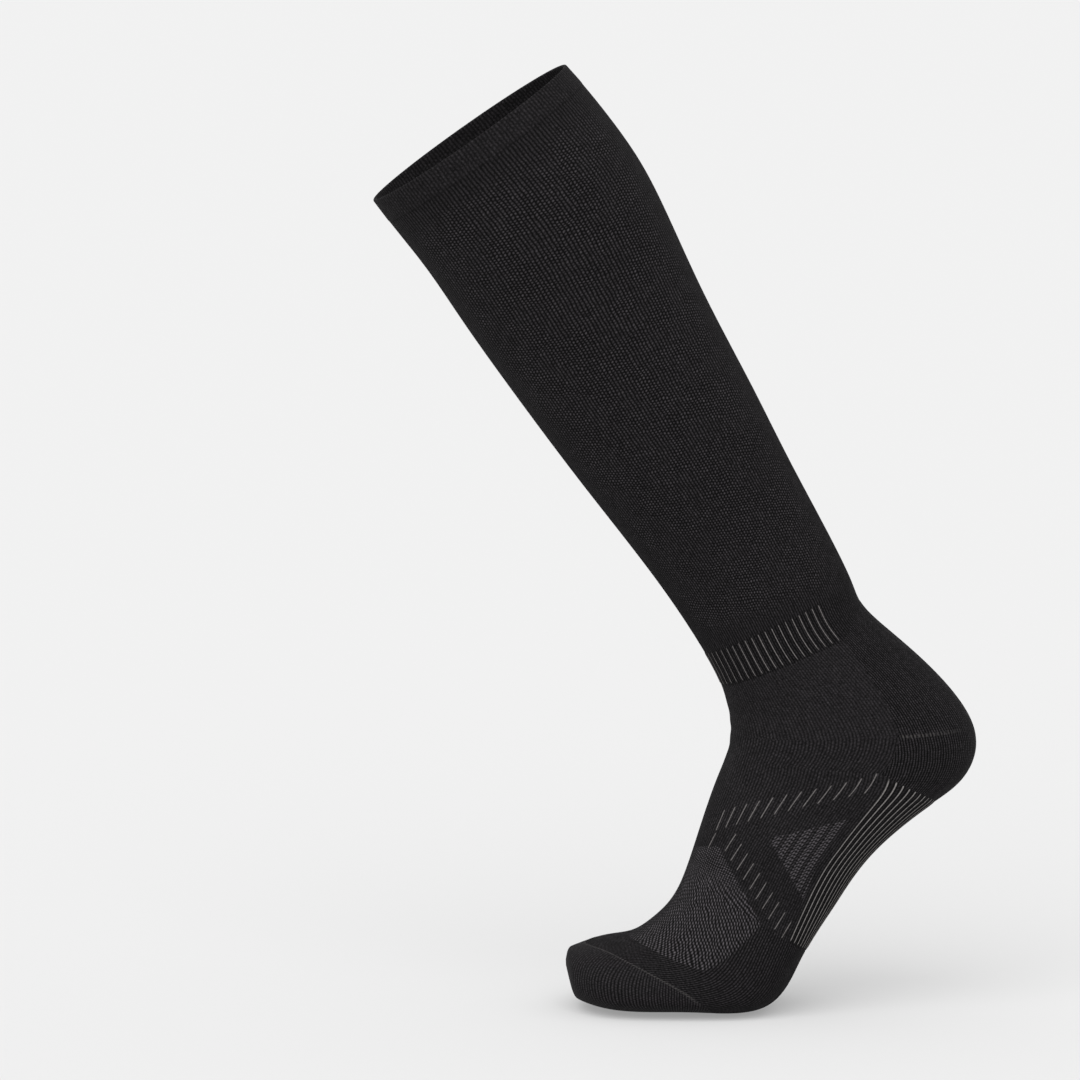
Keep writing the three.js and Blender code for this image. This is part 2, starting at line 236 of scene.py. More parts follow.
# The form, one row for each section. Front and back points lie in the plane
# Y = 0 and stand above the ground, in millimetres. half is half of the width,
# and middle the share from front to back at which that width is reached.

formColumns = (
    "run", "frontX", "frontZ", "backX", "backZ",
    "half", "middle", "frontPower", "backPower", "sway",
)
formRows = (
    (0, -198, 407, -102.5, 474, 49.5, 0.5, 2, 2, 0.5),
    (12, -190.5, 397, -94.5, 465, 50.5, 0.5, 2, 2, 0.5),
    (36, -175.5, 378, -78.5, 445, 52.5, 0.52, 2, 2, 0.5),
    (80, -154, 347, -58, 412.5, 51.5, 0.54, 2, 2, 0),
    (130, -125, 306, -35, 363, 45.5, 0.54, 2, 2, 0),
    (180, -94.5, 265, -10, 314.5, 39, 0.52, 2, 2, 0),
    (230, -66, 228, 12.5, 270, 32.5, 0.52, 2, 2, 1),
    (286, -34.5, 182, 42, 211.5, 27.5, 0.5, 2.1, 2, 3),
    (306, -24, 162, 53.5, 195, 28, 0.48, 2.2, 2, 3.5),
    (320, -20.5, 148.5, 80, 171, 31, 0.46, 2.2, 2, 7),
    (333, -19.5, 137, 102.5, 140.5, 35, 0.46, 2.2, 2.1, 9.5),
    (346, -21, 126, 99.5, 116.5, 37, 0.48, 2.2, 2.2, 9.5),
    (360, -26, 113.5, 83, 102.5, 34, 0.5, 2.1, 2.3, 6),
    (380, -33.5, 93, 54.5, 80, 31, 0.52, 2.1, 2.4, 1),
    (405, -40.5, 72, 33, 52, 31.5, 0.56, 2.1, 2.5, -3),
    (432, -50, 52.5, 15.5, 24, 37, 0.62, 2.1, 2.7, -5),
    (450, -60, 43, -1, 2.5, 40, 0.66, 2.1, 2.8, -6),
    (468, -70, 37, -35, 0, 41, 0.66, 2.1, 2.8, -6),
    (486, -82, 35, -65, 0, 38.5, 0.62, 2.1, 2.7, -7),
    (500, -92, 32.3, -85, 1.5, 31.5, 0.58, 2.1, 2.5, -7),
    (509, -98.5, 30, -95.5, 4, 21.5, 0.54, 2.1, 2.2, -6),
    (514, -101.3, 27, -99.3, 10, 11, 0.5, 2, 2, -6),
    (516, -102, 23.5, -101.2, 17.5, 2, 0.5, 2, 2, -6),
)
openingCentre = np.array([-150, 0, 440.5])  # above the ground, the frame's origin
toeTip = formRows[-1][0]

seams = {
    "weltEnd": 13,
    "legEnd": (289, 283),  # at the middle of the front and of the back
    "bandEnd": 306,
    "goreRun": 333,
    "footEnd": (409, 428),
    "heelTop": 296,
    "heelTopBow": 1.3,
    "heelBottom": 360,
    "heelLow": 345,
    "heelBottomBow": 1.5,
    "heelCorner": 0.136,  # half turns of the heel pocket, from the top down
    "heelGore": 0.175,
    "heelLowTurn": 0.2,
    "soleTurn": 0.2 / 1.2,
    "soleRun": 380,
    "narrowing": 1.3,
    "toeTop": 500,
    "toeSides": 463,
    "toeHalfTurn": 0.3,
    "toeSteepness": 1.15,
}


def naturalBends(places, values):
    step = np.diff(places)
    slopes = np.diff(values, axis=0) / step[:, None]
    grid = np.eye(len(places))
    right = np.zeros(values.shape)
    right[1:-1] = 6 * np.diff(slopes, axis=0)
    for k in range(1, len(places) - 1):
        grid[k, k - 1:k + 2] = step[k - 1], 2 * (step[k - 1] + step[k]), step[k]
    return np.linalg.solve(grid, right)


formTable = np.array(formRows, float)
formRuns, formValues = formTable[:, 0], formTable[:, 1:]
formBends = naturalBends(formRuns, formValues)


def sectionsAt(runs):  # a smooth curve through the rows of the form
    k = np.clip(np.searchsorted(formRuns, runs), 1, len(formRuns) - 1)
    step = (formRuns[k] - formRuns[k - 1])[:, None]
    b = (runs[:, None] - formRuns[k - 1][:, None]) / step
    a = 1 - b
    bend = (a ** 3 - a) * formBends[k - 1] + (b ** 3 - b) * formBends[k]
    return a * formValues[k - 1] + b * formValues[k] + bend * step * step / 6


def sectionPoints(runs, angles):
    s = sectionsAt(runs)
    named = {name: s[:, k] for k, name in enumerate(formColumns[1:])}
    front = np.stack([named["frontX"], named["frontZ"]], 1)
    back = np.stack([named["backX"], named["backZ"]], 1)
    centre = front + (back - front) * named["middle"][:, None]
    facing = np.cos(angles) > 0
    power = 2 / np.where(facing, named["frontPower"], named["backPower"])
    along = (np.abs(np.cos(angles)) ** power)[:, None]
    across = np.sign(np.sin(angles)) * np.abs(np.sin(angles)) ** power
    flat = centre + (np.where(facing[:, None], front, back) - centre) * along
    return np.stack([flat[:, 0], named["sway"] + named["half"] * across, flat[:, 1]], 1)


# Angles at even steps of girth, tabled once so that any place is found quickly
girthTable = {"runStep": 0.5, "angles": 720, "turns": 1440}


def makeGirthTable():
    runs = np.arange(0, toeTip + girthTable["runStep"] / 2, girthTable["runStep"])
    angles = np.linspace(0, 2 * math.pi, girthTable["angles"] + 1)
    turns = np.linspace(0, 1, girthTable["turns"] + 1)
    table = np.zeros((len(runs), len(turns)))
    girths = np.zeros(len(runs))
    for k, run in enumerate(runs):
        ring = sectionPoints(np.full(len(angles), run), angles)
        sides = np.linalg.norm(np.diff(ring, axis=0), axis=1)
        lengths = np.concatenate([[0], np.cumsum(sides)])
        table[k] = np.interp(turns, lengths / lengths[-1], angles)
        girths[k] = lengths[-1]
    return table, girths


angleTable, girthOfRun = makeGirthTable()


def girthAt(run):
    return girthOfRun[int(run / girthTable["runStep"])]


def formPoints(runs, turns):
    shape = np.shape(runs)
    runs = np.clip(np.ravel(runs), 0, toeTip)
    turns = np.ravel(turns) % 1.0
    rowPlace, columnPlace = runs / girthTable["runStep"], turns * girthTable["turns"]
    i = np.clip(rowPlace.astype(int), 0, angleTable.shape[0] - 2)
    j = np.clip(columnPlace.astype(int), 0, angleTable.shape[1] - 2)
    di, dj = rowPlace - i, columnPlace - j
    above = angleTable[i, j] * (1 - dj) + angleTable[i, j + 1] * dj
    below = angleTable[i + 1, j] * (1 - dj) + angleTable[i + 1, j + 1] * dj
    return sectionPoints(runs, above * (1 - di) + below * di).reshape(*shape, 3)


def formNormals(runs, turns):
    runStep, turnStep = 0.4, 0.0015
    down = formPoints(runs + runStep, turns) - formPoints(runs - runStep, turns)
    across = formPoints(runs, turns + turnStep) - formPoints(runs, turns - turnStep)
    normals = np.cross(across, down)
    return normals / np.maximum(np.linalg.norm(normals, axis=-1, keepdims=True), 1e-9)


def fade(values, start, end):
    share = np.clip((values - start) / (end - start), 0, 1)
    return share * share * (3 - 2 * share)


def fromFront(turns):
    inside = turns % 1.0
    return np.minimum(inside, 1 - inside)


def slanted(ends, turns):
    return ends[0] + (ends[1] - ends[0]) * (1 - np.cos(2 * math.pi * turns)) / 2


def toeSeamRun(turns):
    share = np.minimum(fromFront(turns) / seams["toeHalfTurn"], 1)
    arch = ((1 + np.cos(math.pi * share)) / 2) ** seams["toeSteepness"]
    return seams["toeSides"] + (seams["toeTop"] - seams["toeSides"]) * arch


def heelHalfTurn(runs):
    s = seams
    toGore = np.clip((runs - s["bandEnd"]) / (s["goreRun"] - s["bandEnd"]), 0, 1)
    upper = s["heelCorner"] + (s["heelGore"] - s["heelCorner"]) * toGore
    toLow = np.clip((runs - s["goreRun"]) / (s["heelLow"] - s["goreRun"]), 0, 1)
    middle = s["heelGore"] + (s["heelLowTurn"] - s["heelGore"]) * toLow
    toSole = np.clip((s["soleRun"] - runs) / (s["soleRun"] - s["heelLow"]), 0, 1)
    lowest = s["soleTurn"] + (s["heelLowTurn"] - s["soleTurn"]) * toSole ** s["narrowing"]
    return np.where(runs < s["goreRun"], upper, np.where(runs < s["heelLow"], middle, lowest))


def heelSide(turns):  # 0 at the middle of the back, 1 at the heel's upper corners
    return np.minimum((0.5 - fromFront(turns)) / seams["heelCorner"], 1)


def heelTopRun(side):
    return seams["heelTop"] + (seams["bandEnd"] - seams["heelTop"]) * side ** seams["heelTopBow"]


def heelBottomRun(side):
    rise = (seams["heelLow"] - seams["heelBottom"]) * side ** seams["heelBottomBow"]
    return seams["heelBottom"] + rise


print("form worked out")


# Relief of plain knit, in millimetres out of the form

knit = {
    "wales": 168,  # columns of stitches in a full girth
    "course": 1.9,  # millimetres from one row of stitches to the next
    "waleRise": 0.13,
    "wall": 1.6,
}

# Soft creases: where the middle of each lies, how far it runs and how deep it is
creaseBow = 6  # millimetres that a crease's ends lie below its middle
creaseRows = (
    # run, turn, halfLength, halfWidth, depth
    (322, 0.985, 0.17, 4.5, 0.45),
    (331, 0.03, 0.20, 4.0, 0.55),
    (341, 0.975, 0.15, 4.5, 0.40),
    (300, 0.48, 0.11, 5.0, 0.35),
    (20, 0.21, 0.06, 9.0, 0.30),
    (24, 0.70, 0.08, 8.0, 0.35),
)


def creaseDepth(runs, turns):
    depth = np.zeros(np.shape(runs))
    for run, turn, halfLength, halfWidth, deep in creaseRows:
        away = (turns - turn + 0.5) % 1.0 - 0.5
        bow = run + creaseBow * (away / halfLength) ** 2
        across = np.exp(-((runs - bow) / halfWidth) ** 2)
        depth += deep * across * np.clip(1 - (away / halfLength) ** 2, 0, 1)
    return depth


def waleRise(turns):
    return knit["waleRise"] * (0.5 + 0.5 * np.cos(2 * math.pi * knit["wales"] * turns))


def plainRise(runs, turns):
    return waleRise(turns) - creaseDepth(runs, turns)


# Materials of knit. Each reads two maps of its piece: zone holds turn and run, and
# stitch holds turn and the way down the cloth.

mapUnit = 100  # millimetres down that are 1 in a map

yarn = {
    "tint": (1.0, 0.92, 0.99),
    "pad": 0.0088,  # tone of the padded knit
    "line": (0.160, 0.150, 0.147),  # of the ankle lines and the dashes
    "archLine": (0.205, 0.194, 0.188),
    "seamLine": (0.050, 0.047, 0.046),
    "lineGrain": (0.15, 1.3),  # strength of a line, and what the fuzz adds
    "dashGrain": (0.2, 1.3),
    "specular": 0.05,
    "roughness": 0.85,
    "roughnessSpread": 0.16,
    "sheen": 0.006,
    "sheenRoughness": 0.55,
    "mottle": (26, 3),  # noise scale and detail of the soft patches of tone
    "mottleSpread": 0.24,
    "fuzz": (1150, 3),  # of the grain of the yarn
    "fuzzTone": (3.0, 0.5, 0.12),  # how much fuzz, less how much, and no less than this
    "wobble": (160, 2),  # of the small bends of wales and courses
    "waleWobble": 0.7,
    "courseWobble": 1.6,
    "contrast": 0.85,
    "stitchGain": 2.7,  # keeps the mean tone at any contrast
    "stitchBreak": 0.5,  # how far the stitches part a wale, in tone and in height
    "stitchDip": 0.6,
    "ridgeHeight": 0.10,
    "fuzzHeight": 0.05,
    "bump": 0.9,
}


class Value:  # a number in a material, so that shader sums read as plain sums

    def __init__(self, cloth, socket):
        self.cloth, self.socket = cloth, socket

    def sum(self, operation, *others):
        values = dict(enumerate((self, *others)))
        return self.cloth.node("ShaderNodeMath", {"operation": operation}, values)

    def reflected(self, operation, other):
        return self.cloth.node("ShaderNodeMath", {"operation": operation}, {0: other, 1: self})

    def other(self, output):
        return Value(self.cloth, self.socket.node.outputs[output])

    def __add__(self, other): return self.sum("ADD", other)
    def __radd__(self, other): return self.reflected("ADD", other)
    def __sub__(self, other): return self.sum("SUBTRACT", other)
    def __rsub__(self, other): return self.reflected("SUBTRACT", other)
    def __mul__(self, other): return self.sum("MULTIPLY", other)
    def __rmul__(self, other): return self.reflected("MULTIPLY", other)
    def __truediv__(self, other): return self.sum("DIVIDE", other)
    def __rtruediv__(self, other): return self.reflected("DIVIDE", other)
    def __mod__(self, other): return self.sum("FLOORED_MODULO", other)
    def __pow__(self, other): return self.sum("POWER", other)
    def __abs__(self): return self.sum("ABSOLUTE")
    def __round__(self): return self.sum("ROUND")


def lower(a, b):
    return a.sum("MINIMUM", b)


def higher(a, b):
    return a.sum("MAXIMUM", b)


def cosine(angle):
    return angle.sum("COSINE")


def rising(value, start, end):  # 0 up to start and 1 from end on
    ends = {"Value": value, "From Min": start, "From Max": end}
    return value.cloth.node("ShaderNodeMapRange", {"interpolation_type": "SMOOTHSTEP"}, ends)


def falling(value, start, end):
    return 1 - rising(value, start, end)


def wave(phase):  # 1 at whole numbers and 0 half way between them
    return cosine(phase * (2 * math.pi)) * 0.5 + 0.5


def stripe(distance, halfWidth, soft):
    return falling(abs(distance), halfWidth, halfWidth + soft)


def partly(value, share):  # 1 where value is 1, and 1 less share where it is 0
    return (1 - share) + share * value


def varied(value, spread):  # 1 on average, from a value of 0.5 on average
    return (1 - spread / 2) + spread * value


def slantedValue(cloth, ends):
    share = (1 - cosine(cloth.turn * (2 * math.pi))) * 0.5
    return ends[0] + (ends[1] - ends[0]) * share


class KnitMaterial:  # one zone of knit, with the places that its pattern reads

    def __init__(self, name):
        self.material = bpy.data.materials.new(name)
        self.material.use_nodes = True
        self.tree = self.material.node_tree
        self.surface = self.tree.nodes["Principled BSDF"]
        self.turn, self.run = self.readMap("zone")
        self.evenTurn, self.down = self.readMap("stitch")
        self.place = self.node("ShaderNodeTexCoord", {}, {}, 3)  # Object coordinates
        self.x = self.node("ShaderNodeSeparateXYZ", {}, {0: self.place})
        self.y, self.z = self.x.other(1), self.x.other(2)
        self.mottle = self.noise(*yarn["mottle"])
        self.fuzz = self.noise(*yarn["fuzz"])
        self.wobble = self.noise(*yarn["wobble"]) - 0.5
        aside = abs(self.turn)
        self.fromFront = lower(aside, 1 - aside)
        self.fromBack = 0.5 - self.fromFront

    def node(self, kind, settings, inputs, output=0):
        made = self.tree.nodes.new(kind)
        for key, value in settings.items():
            setattr(made, key, value)
        for key, value in inputs.items():
            self.put(made.inputs[key], value)
        return Value(self, made.outputs[output])

    def put(self, socket, value):
        if isinstance(value, Value):
            self.tree.links.new(value.socket, socket)
        else:
            socket.default_value = value

    def readMap(self, name):
        place = self.node("ShaderNodeUVMap", {"uv_map": name}, {})
        turn = self.node("ShaderNodeSeparateXYZ", {}, {0: place})
        return turn, turn.other(1) * mapUnit

    def noise(self, scale, detail):
        values = {"Vector": self.place, "Scale": scale, "Detail": detail}
        return self.node("ShaderNodeTexNoise", {}, values)

    def setStitches(self, wale, course):  # both count stitches, whole at the middle of each
        self.wale = wale + self.wobble * yarn["waleWobble"]
        self.course = course + self.wobble * yarn["courseWobble"]
        self.ridge = wave(self.wale)
        self.halfCourse = (round(self.wale) % 2) * 0.5  # every other wale is half a course off
        self.staggered = wave(self.course + self.halfCourse)

    def stitchesRound(self, wales=knit["wales"], course=knit["course"]):
        self.setStitches(self.evenTurn * wales, self.down / course)

    def eachStitch(self):  # from 0 to 1, different from one stitch to the next
        cell = {0: round(self.wale), 1: round(self.course + self.halfCourse)}
        place = self.node("ShaderNodeCombineXYZ", {}, cell)
        return self.node("ShaderNodeTexWhiteNoise", {"noise_dimensions": "2D"}, {"Vector": place})

    def grained(self, grain):
        return grain[0] + grain[1] * self.fuzz

    def uneven(self, tone):  # with soft patches and the grain of the yarn, the same on average
        gain, less, least = yarn["fuzzTone"]
        grain = higher(gain * self.fuzz - less, least)
        return tone * varied(self.mottle, yarn["mottleSpread"]) * grain

    def plainTone(self, tone, contrast=yarn["contrast"]):
        stitches = yarn["stitchGain"] * self.ridge * partly(self.staggered, yarn["stitchBreak"])
        return self.uneven(tone * ((1 - contrast) + contrast * stitches))

    def plainHeight(self):
        ridge = yarn["ridgeHeight"] * self.ridge * partly(self.staggered, yarn["stitchDip"])
        return ridge + yarn["fuzzHeight"] * self.fuzz

    # tone is a number, height is in millimetres, and lines are pairs of mask and colour
    def finish(self, tone, height, lines=()):
        scaled = {0: yarn["tint"], "Scale": tone}
        colour = self.node("ShaderNodeVectorMath", {"operation": "SCALE"}, scaled)
        for mask, lineColour in lines:
            mixed = {0: mask, 6: colour, 7: (*lineColour, 1)}
            colour = self.node("ShaderNodeMix", {"data_type": "RGBA"}, mixed, 2)
        relief = {"Strength": yarn["bump"], "Distance": mm, "Height": height}
        shading = {
            "Base Color": colour,
            "Roughness": yarn["roughness"] + yarn["roughnessSpread"] * (self.fuzz - 0.5),
            "Specular IOR Level": yarn["specular"],
            "Sheen Weight": yarn["sheen"],
            "Sheen Roughness": yarn["sheenRoughness"],
            "Normal": self.node("ShaderNodeBump", {}, relief),
        }
        for key, value in shading.items():
            self.put(self.surface.inputs[key], value)
        return self.material


print("knit ready")


# Shells

relaxed = {"round": 1.2, "down": 1.05}  # how far worn knit is stretched
smoothAngle = 60
tipReach = 0.3  # millimetres that the closed tip of the toes stands out
allRound = np.linspace(0, 1, 4 * knit["wales"] + 1)


# A sheet of quads. loops says whether it is closed round the girth and down its
# rows; where it is, runs and turns still have one more column or row than the sheet.
def gridShell(
    name, runs, turns, rise, filled=None, loops=(True, False), closedTip=False, even=None
):
    points = formPoints(runs, turns) + formNormals(runs, turns) * rise[..., None]
    points = (points - openingCentre) * mm
    rows, columns = runs.shape[0] - 1, runs.shape[1] - 1
    steps = np.linalg.norm(np.diff(points, axis=0), axis=2) / mm
    down = runs[0] + np.concatenate([np.zeros((1, columns + 1)), np.cumsum(steps, axis=0)])
    width = columns if loops[0] else columns + 1
    height = rows if loops[1] else rows + 1
    i, j = np.mgrid[0:rows, 0:columns]
    if filled is not None:
        i, j = i[filled], j[filled]
    i, j = i.ravel(), j.ravel()
    below, beside = (i + 1) % height, (j + 1) % width
    quads = [i * width + j, i * width + beside, below * width + beside, below * width + j]
    faces = np.stack(quads, 1).tolist()
    corners = [(i, j), (i, j + 1), (i + 1, j + 1), (i + 1, j)]
    places = {"zone": (turns, runs), "stitch": (turns if even is None else even, down)}
    maps = {
        key: np.stack([np.stack([a[c], b[c] / mapUnit], 1) for c in corners], 1).reshape(-1, 2)
        for key, (a, b) in places.items()
    }
    flatPoints = points[:height, :width].reshape(-1, 3)
    if closedTip:
        last, tip = rows * width, len(flatPoints)
        middle = flatPoints[last:].mean(0) + np.array([-tipReach * mm, 0, 0])
        flatPoints = np.vstack([flatPoints, middle])
        k = np.arange(width)
        faces += np.stack([last + k, last + (k + 1) % width, np.full(width, tip)], 1).tolist()
        fanTurns = np.stack([turns[-1, k], turns[-1, k + 1], turns[-1, k]], 1).ravel()
        for key, lastDown in (("zone", toeTip), ("stitch", down[-1].mean())):
            fan = np.stack([fanTurns, np.full(len(fanTurns), lastDown / mapUnit)], 1)
            maps[key] = np.vstack([maps[key], fan])
    mesh = bpy.data.meshes.new(name)
    mesh.from_pydata(flatPoints.tolist(), [], faces)
    for key, values in maps.items():
        layer = mesh.uv_layers.new(name=key)
        layer.data.foreach_set("uv", values.astype(np.float32).ravel())
    shell = bpy.data.objects.new(name, mesh)
    bpy.context.collection.objects.link(shell)
    if filled is not None:
        spare = np.ones(len(flatPoints), bool)
        spare[np.unique(np.array(faces))] = False
        removeSpare(shell, spare)
    return shell


def removeSpare(shell, spare):
    shell.data.vertices.foreach_set("select", spare)
    bpy.context.view_layer.objects.active = shell
    shell.select_set(True)
    bpy.ops.object.mode_set(mode="EDIT")
    bpy.ops.mesh.select_mode(type="VERT")
    bpy.ops.mesh.delete_loose(use_verts=True, use_edges=False, use_faces=False)
    bpy.ops.object.mode_set(mode="OBJECT")


def chooseOnly(shell):
    bpy.ops.object.select_all(action="DESELECT")
    shell.select_set(True)
    bpy.context.view_layer.objects.active = shell


def thicken(shell):
    chooseOnly(shell)
    wall = shell.modifiers.new("wall", "SOLIDIFY")
    wall.thickness = knit["wall"] * mm
    wall.offset = -1
    bpy.ops.object.modifier_apply(modifier=wall.name)


# width and length are of the cut's outline and area is what is worn, in millimetres
def dress(shell, nodes, slot, material, area, width, length):
    chooseOnly(shell)
    bpy.ops.object.shade_smooth_by_angle(angle=math.radians(smoothAngle))
    shell.select_set(False)
    shell.data.materials.append(material)
    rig.ride(shell, "root")
    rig.replaces(shell, *nodes)
    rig.slot(shell, slot)
    flatWidth, flatLength = width / relaxed["round"] * mm, length / relaxed["down"] * mm
    relaxedArea = area / relaxed["round"] / relaxed["down"] * mm * mm
    cutArea = min(relaxedArea, flatWidth * flatLength)
    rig.sheet(shell, flat=(flatWidth, flatLength), held="stretched", area=cutArea)
    faces = len(shell.data.polygons)
    print(shell.name, faces, "faces, flat", round(flatWidth, 4), round(flatLength, 4))


def wornArea(runs, turns, filled=None):
    p = formPoints(runs, turns)
    diagonals = p[1:, 1:] - p[:-1, :-1], p[1:, :-1] - p[:-1, 1:]
    areas = np.linalg.norm(np.cross(*diagonals), axis=-1) / 2
    return float(areas.sum() if filled is None else areas[filled].sum())


def columnsThrough(*marks):  # each mark is a share of the girth and the columns up to it
    parts = [np.array([0.0])]
    for place, count in marks:
        parts.append(np.linspace(parts[-1][-1], place, count + 1)[1:])
    return np.concatenate(parts)


def evenShares(rows):
    return np.linspace(0, 1, rows + 1)


def tubeGrid(turns, shares, startRuns, endRuns):
    runs = startRuns * (1 - shares[:, None]) + endRuns * shares[:, None]
    return runs, np.tile(turns, (len(shares), 1))


# The welt: up its outside, over a rounded rim and down its inside

welt = {
    "outer": 0.2,  # millimetres out of the form
    "inner": -1.5,
    "step": 0.2,  # share of outer that is left where the leg starts
    "stepLength": 0.5,
    "waleShare": 0.8,
    "rimRows": 7,
    "sideRows": 12,
    "girthRun": 6,
    "tone": 0.0096,
    "stitches": (0.5, 0.7, 0.6),  # tone between wales, what a wale adds, and what a stitch adds
    "stitchSpread": 0.3,
    "lineAbove": 0.4,  # millimetres from the line up to the end of the welt
    "line": (0.25, 0.35),
    "lineDark": 0.3,
    "lineDeep": 0.06,
}


def weltMaterial():
    cloth = KnitMaterial("weltKnit")
    cloth.stitchesRound()
    line = stripe(cloth.run - seams["weltEnd"] + welt["lineAbove"], *welt["line"])
    base, wale, stitch = welt["stitches"]
    stitches = base + cloth.ridge * (wale + stitch * cloth.staggered)
    stitches = stitches * varied(cloth.eachStitch(), welt["stitchSpread"])
    tone = cloth.uneven(welt["tone"] * stitches) * (1 - welt["lineDark"] * line)
    return cloth.finish(tone, cloth.plainHeight() - welt["lineDeep"] * line)


def makeWelt():
    radius = (welt["outer"] - welt["inner"]) / 2
    middle = (welt["outer"] + welt["inner"]) / 2
    end = seams["weltEnd"]
    bend = np.linspace(0, math.pi, welt["rimRows"] + 1)[1:-1]
    sideRuns = np.linspace(end, radius, welt["sideRows"] + 1)
    stepIn = 1 - (1 - welt["step"]) * fade(sideRuns, end - welt["stepLength"], end)
    outside = welt["outer"] * stepIn
    inside = np.full(len(sideRuns), welt["inner"])
    lastOut = [welt["outer"] * welt["step"]]
    profileRuns = np.concatenate([sideRuns, radius - radius * np.sin(bend), sideRuns[::-1], [end]])
    profileOut = np.concatenate([outside, middle + radius * np.cos(bend), inside, lastOut])
    turns = np.tile(allRound, (len(profileRuns), 1))[:, ::-1]
    runs = np.tile(profileRuns[:, None], (1, len(allRound)))
    rise = profileOut[:, None] + waleRise(turns) * welt["waleShare"] - creaseDepth(runs, turns)
    shell = gridShell("weltCloth", runs, turns, rise, loops=(True, True))
    girth = girthAt(welt["girthRun"])
    dress(shell, ["welt"], "welt_knit", weltMaterial(), 2 * girth * end, girth, 2 * end)


makeWelt()


# The leg: fine ribs at the front, the back and the ends, and staggered dots at the sides

leg = {
    "rows": 72,
    "girthRun": 60,
    "tone": 0.0100,
    "course": 1.55,
    "dotsIn": (0.04, 0.10),  # shares of the girth from the front where the dots come and go
    "dotsOut": (0.41, 0.48),
    "dotsTop": (14, 32),  # runs where they come and go
    "dotsBottom": (268, 286),
    "patches": (75, 2),  # noise scale and detail
    "patchEdge": (0.36, 0.58),
    "dotBreak": 0.62,  # how far dots part the ribs, and how much more in patches
    "patchBreak": 0.36,
    "dotSpread": 0.44,
    # tone of the ribs, lower than the dots': partly the ribs' own tone and partly painted shade where the leg turns
    # away at its front and back edges
    "ribToneAndEdgeShade": (0.22, 1.30),
    "dotTone": (0.14, 1.95),
    "ribHeight": 0.12,
}


def legMaterial():
    cloth = KnitMaterial("legKnit")
    cloth.stitchesRound(course=leg["course"])
    around = rising(cloth.fromFront, *leg["dotsIn"]) * falling(cloth.fromFront, *leg["dotsOut"])
    side = around * rising(cloth.run, *leg["dotsTop"]) * falling(cloth.run, *leg["dotsBottom"])
    patches = rising(cloth.noise(*leg["patches"]), *leg["patchEdge"])
    parted = patches * leg["patchBreak"] + leg["dotBreak"]
    broken = cloth.ridge * (1 - parted * (1 - cloth.staggered))
    dots = broken / (1 - 0.5 * parted) * varied(cloth.eachStitch(), leg["dotSpread"])
    # the ribs' tone, partly their own and partly painted shade at the leg's front and back edges
    ribToneAndEdgeShade = leg["ribToneAndEdgeShade"][0] + leg["ribToneAndEdgeShade"][1] * cloth.ridge
    dotTone = leg["dotTone"][0] + leg["dotTone"][1] * dots
    tone = cloth.uneven(leg["tone"] * ((1 - side) * ribToneAndEdgeShade + side * dotTone))
    ridge = cloth.ridge * (1 - side * parted * (1 - cloth.staggered))
    return cloth.finish(tone, leg["ribHeight"] * ridge + yarn["fuzzHeight"] * cloth.fuzz)


def makeLeg():
    start, end = seams["weltEnd"], slanted(seams["legEnd"], allRound)
    runs, turns = tubeGrid(allRound, evenShares(leg["rows"]), start, end)
    shell = gridShell("legCloth", runs, turns, plainRise(runs, turns))
    thicken(shell)
    length = sum(seams["legEnd"]) / 2 - start
    area, girth = wornArea(runs, turns), girthAt(leg["girthRun"])
    dress(shell, ["calf", "lower_leg"], "leg_knit", legMaterial(), area, girth, length)


makeLeg()


# The band round the ankle, with thin light lines on the crests of its ribs

band = {
    "rows": 18,
    "sideColumns": 168,
    "heelColumns": 128,
    "girthRun": 296,
    "cutLength": 20,
    "ribs": 58,
    "ribRise": 0.42,
    "ribPower": 3,
    "plainShare": 0.5,
    "ribTop": (-0.5, 1.5),  # from the leg's end, in millimetres
    "ribBottom": 2,
    "heelFade": 0.004,
    "tone": 0.0078,
    "line": (0.955, 0.995),  # how near to a crest its line starts and is full
    "lineTop": (0.2, 1.0),
    "lineBottom": (1.5, 0.4),
    "lineHeight": 0.12,
    # painted shade: how far the tone is darkened in the furrows between the ribs
    "furrow": 0.25,
}
bandSpan = (0.5 - seams["heelCorner"] - band["heelFade"], 0.5 - seams["heelCorner"])


def bandRise(runs, turns):
    legEnd, end = slanted(seams["legEnd"], turns), seams["bandEnd"]
    edgeIn = fade(runs, legEnd + band["ribTop"][0], legEnd + band["ribTop"][1])
    edgeOut = 1 - fade(runs, end - band["ribBottom"], end)
    span = 1 - fade(fromFront(turns), *bandSpan)
    phase = 2 * math.pi * band["ribs"] * (turns - 0.5 / band["ribs"])
    ridge = np.clip(np.cos(phase), 0, 1) ** band["ribPower"]
    ribs = band["ribRise"] * ridge * edgeIn * edgeOut * span
    return plainRise(runs, turns) * band["plainShare"] + ribs


def bandMaterial():
    cloth = KnitMaterial("bandKnit")
    cloth.stitchesRound()
    crest = wave(cloth.turn * band["ribs"] - 0.5)
    legLine = slantedValue(cloth, seams["legEnd"])
    span = falling(cloth.fromFront, *bandSpan)
    bottom = [seams["bandEnd"] - way for way in band["lineBottom"]]
    ends = rising(cloth.run - legLine, *band["lineTop"]) * falling(cloth.run, *bottom)
    line = rising(crest, *band["line"]) * span * ends * cloth.grained(yarn["lineGrain"])
    # painted shade, darker in the furrows between the ribs
    furrow = 1 - band["furrow"] * (1 - crest) * span
    height = cloth.plainHeight() + band["lineHeight"] * line
    return cloth.finish(cloth.plainTone(band["tone"]) * furrow, height, [(line, yarn["line"])])


